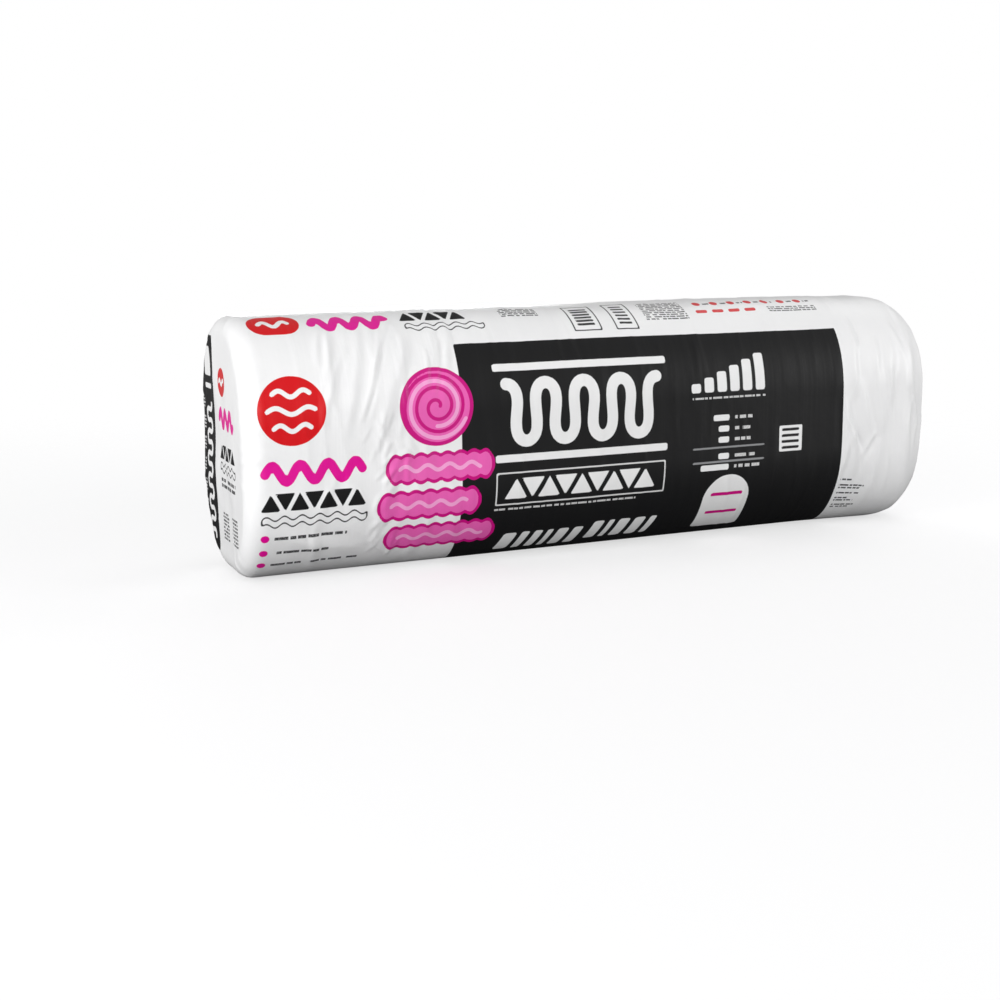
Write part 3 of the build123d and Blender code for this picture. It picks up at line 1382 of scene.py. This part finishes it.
@dataclass(frozen=True)
class SealFin:
    """The weld that closes the right end: two layers of film crimped flat, standing upright."""

    root: float = 607.0
    tip: float = 634.6
    height: float = 258.0
    bow: float = 12.0
    thickness: float = 0.9
    ragged: float = 0.7
    sway: float = 3.4
    rib_pitch: float = 3.0
    rib_depth: float = 0.35
    weld_width: float = 12.0

    def build(self) -> bpy.types.Object:
        """Makes the fin's sheet and gives it its thickness.

        The sheet runs from its root to a free edge that is bowed like the end. It sways to and
        fro by noises that grow towards the free edge, and its weld has fine ribs: a sine across
        the weld's width.

        Returns:
            The fin.
        """
        out, up = np.meshgrid(np.linspace(0, 1, 40), np.linspace(-1, 1, 240), indexing="ij")
        edge = self.tip - self.bow * up**2 * (1 - 0.25 * np.abs(up))
        edge += self.ragged * lattice_noise(up * 9 + 20, 0 * up, 31)
        x = self.root + (edge - self.root) * out
        z = MID_HEIGHT + up * self.height / 2 * (1 - 0.02 * out)
        wander = lattice_noise(up * 3.2 + 11, out * 0.4, 32) + 0.4 * lattice_noise(up * 8 + 5, out, 33)
        y = self.sway * wander * (0.25 + out)
        reach = x + self.bow * up**2
        weld = ease(self.tip - self.weld_width - 3, self.tip - self.weld_width, reach)
        y += self.rib_depth * np.sin(2 * pi * reach / self.rib_pitch) * weld
        number = np.arange(x.size).reshape(x.shape)
        corners = (number[:-1, :-1], number[1:, :-1], number[1:, 1:], number[:-1, 1:])
        points = np.stack((x, y, z), -1).reshape(-1, 3)
        faces = np.stack(corners, -1).reshape(-1, 4).tolist()
        fin = place_in_scene("seal_fin", smooth_mesh("seal_fin", points, faces))
        wall = fin.modifiers.new("two_layers", "SOLIDIFY")
        wall.thickness = self.thickness * MM
        wall.offset = 0
        return fin


@dataclass(frozen=True)
class WeldedFilm:
    """Two layers of white polyethylene film pressed together hot: smoother than the bag."""

    colours: tuple[str, str] = ("#eeeeee", "#e2e2e3")
    roughness: tuple[float, float] = (0.3, 0.42)

    def material(self) -> bpy.types.Material:
        """The weld's material, on Object coordinates.

        Returns:
            The material.
        """
        material, tree = fresh_material("welded_polyethylene_film")
        cloud = noise(tree, add(tree, "TexCoord").outputs["Object"], 60.0, 3.0)
        inputs = {"Base Color": blend(tree, cloud, *map(linear, self.colours)), "IOR": 1.5}
        inputs["Roughness"] = ramp(tree, cloud, 0.3, 0.7, *self.roughness)
        inputs["Normal"] = bump(tree, 0.4, 0.0003, cloud)
        coat(tree, inputs)
        return material


@dataclass(frozen=True)
class GlassWool:
    """Spun glass fibres, dyed and bound: matt, matted in layers and a little mottled."""

    colours: tuple[str, str] = ("#d8879f", "#f1bccb")
    roughness: float = 0.95

    def material(self) -> bpy.types.Material:
        """The wool's material, on Object coordinates: fibres a few mm long, drawn coarse to show.

        Returns:
            The material.
        """
        material, tree = fresh_material("spun_glass_wool")
        place = add(tree, "TexCoord").outputs["Object"]
        layered = add(tree, "Mapping", {"Vector": place, "Scale": (60.0, 900.0, 60.0)}).outputs[0]
        mixed = math(tree, "MULTIPLY", noise(tree, layered, 1.0, 6.0), noise(tree, place, 35.0, 4.0))
        spread = ramp(tree, mixed, 0.12, 0.42, 0.0, 1.0)
        inputs = {"Base Color": blend(tree, spread, *map(linear, self.colours))}
        inputs |= {"Roughness": self.roughness, "Normal": bump(tree, 0.7, 0.0015, mixed)}
        coat(tree, inputs)
        return material


@dataclass(frozen=True)
class Lamp:
    """A square soft lamp: where it hangs, how far along X it looks, its side and its power."""

    name: str
    place: Place
    target: float
    size: float
    power: float

    def build(self) -> None:
        """Hangs the lamp, turned to the bag's mid height at its place along X."""
        light = bpy.data.lights.new(self.name, "AREA")
        light.size = self.size
        light.energy = self.power
        lamp = place_in_scene(self.name, light)
        lamp.location = self.place
        ahead = Vector((self.target, 0, MID_HEIGHT * MM)) - Vector(self.place)
        lamp.rotation_euler = ahead.to_track_quat("-Z", "Y").to_euler()


@dataclass(frozen=True)
class Studio:
    """A white sweep of floor, six soft lamps and the camera at the photograph's place."""

    floor_size: float = 9.0
    floor_colour: str = "#b4b4b5"
    bounce_colour: str = "#5c5c5d"
    glow: float = 0.62
    surround: tuple[float, float] = (0.41, 1.0)
    camera_place: Place = (-1.1278, -2.1702, 0.5136)
    yaw: float = 23.76
    pitch: float = -10.37
    roll: float = -0.58
    lens: float = 51.92
    lamps: tuple[Lamp, ...] = (
        Lamp("left", (-3.4, -1.2, 0.7), -0.3, 1.4, 59.0),
        Lamp("corner", (-3.0, -2.6, 0.45), -0.2, 1.2, 32.0),
        Lamp("front", (-1.6, -3.9, 0.8), 0.0, 1.4, 28.0),
        Lamp("right", (3.0, -2.2, 0.9), 0.3, 1.6, 56.0),
        Lamp("top", (2.0, 0.8, 2.6), 0.4, 1.6, 13.0),
        Lamp("back", (0.9, 4.0, 0.9), 0.0, 1.6, 62.0),
    )

    def floor(self) -> None:
        """The floor: matt and pale, and fading into the white background away from the bag."""
        half = self.floor_size / 2
        mesh = bpy.data.meshes.new("studio_floor")
        corners = [(-half, -half, 0), (half, -half, 0), (half, half, 0), (-half, half, 0)]
        mesh.from_pydata(corners, [], [(0, 1, 2, 3)])
        floor = place_in_scene("studio_floor", mesh)
        material, tree = fresh_material("matt_white_floor")
        place = add(tree, "TexCoord").outputs["Object"]
        away = add(tree, "VectorMath", {0: place}, operation="LENGTH").outputs["Value"]
        matt = add(tree, "BsdfDiffuse", {"Color": linear(self.floor_colour)})
        glow = add(tree, "Emission", {"Color": (1, 1, 1, 1), "Strength": self.glow})
        white = add(tree, "AddShader", {0: matt.outputs[0], 1: glow.outputs[0]})
        plain = add(tree, "BsdfDiffuse", {"Color": linear(self.bounce_colour)})
        seen = add(tree, "LightPath").outputs["Is Camera Ray"]
        cast = add(tree, "MixShader", {0: seen, 1: plain.outputs[0], 2: white.outputs[0]})
        clear = add(tree, "BsdfTransparent")
        fade = ramp(tree, away, 0.9, 2.4, 0.0, 1.0)
        both = add(tree, "MixShader", {0: fade, 1: cast.outputs[0], 2: clear.outputs[0]})
        add(tree, "OutputMaterial", {"Surface": both.outputs[0]})
        mesh.materials.append(material)

    def world(self) -> None:
        """A plain bright surround, white where the camera sees it, also through the film."""
        world = bpy.data.worlds.new("studio")
        bpy.context.scene.world = world
        world.use_nodes = True
        tree = world.node_tree
        tree.nodes.clear()
        path = add(tree, "LightPath").outputs
        seen = math(tree, "MAXIMUM", path["Is Camera Ray"], path["Is Transmission Ray"])
        strength = ramp(tree, seen, 0.0, 1.0, *self.surround)
        light = add(tree, "Background", {"Color": (1, 1, 1, 1), "Strength": strength})
        add(tree, "OutputWorld", {"Surface": light.outputs[0]})

    def camera(self) -> None:
        """Sets the camera: it looks along its yaw and pitch, then rolls about that line."""
        yaw, pitch, roll = radians(self.yaw), radians(self.pitch), radians(self.roll)
        ahead = Vector((sin(yaw) * cos(pitch), cos(yaw) * cos(pitch), sin(pitch)))
        level = Vector((cos(yaw), -sin(yaw), 0))
        upright = level.cross(ahead)
        right = level * cos(roll) + upright * sin(roll)
        up = upright * cos(roll) - level * sin(roll)
        view = bpy.data.cameras.new("camera")
        view.lens = self.lens
        view.sensor_width = 36.0
        camera = place_in_scene("camera", view)
        turn = Matrix((right, up, -ahead)).transposed().to_4x4()
        camera.matrix_world = Matrix.Translation(self.camera_place) @ turn
        bpy.context.scene.camera = camera

    def build(self) -> None:
        """Sets the whole studio up."""
        self.floor()
        self.world()
        for lamp in self.lamps:
            lamp.build()
        self.camera()
        bpy.context.scene.view_settings.view_transform = "Standard"


def main() -> None:
    """Builds the bag and the studio in order, and reports each piece."""
    logging.basicConfig(level=logging.INFO, format="%(name)s: %(message)s")
    film = FilmBag().build()
    film.data.materials.append(PrintedFilm().material())
    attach(film, "root")
    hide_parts("bag_film")
    log.info("film_bag: %d triangles", len(film.data.loops) - 2 * len(film.data.polygons))
    fin = SealFin().build()
    fin.data.materials.append(WeldedFilm().material())
    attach(fin, "root")
    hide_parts("bag_film")
    log.info("seal_fin: %d faces", len(fin.data.polygons))
    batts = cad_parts["batts"]
    batts.data.materials.clear()
    batts.data.materials.append(GlassWool().material())
    log.info("batts: carried over from the CAD")
    Studio().build()


if __name__ == "__main__":
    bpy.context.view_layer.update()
    main()
    bpy.context.view_layer.update()
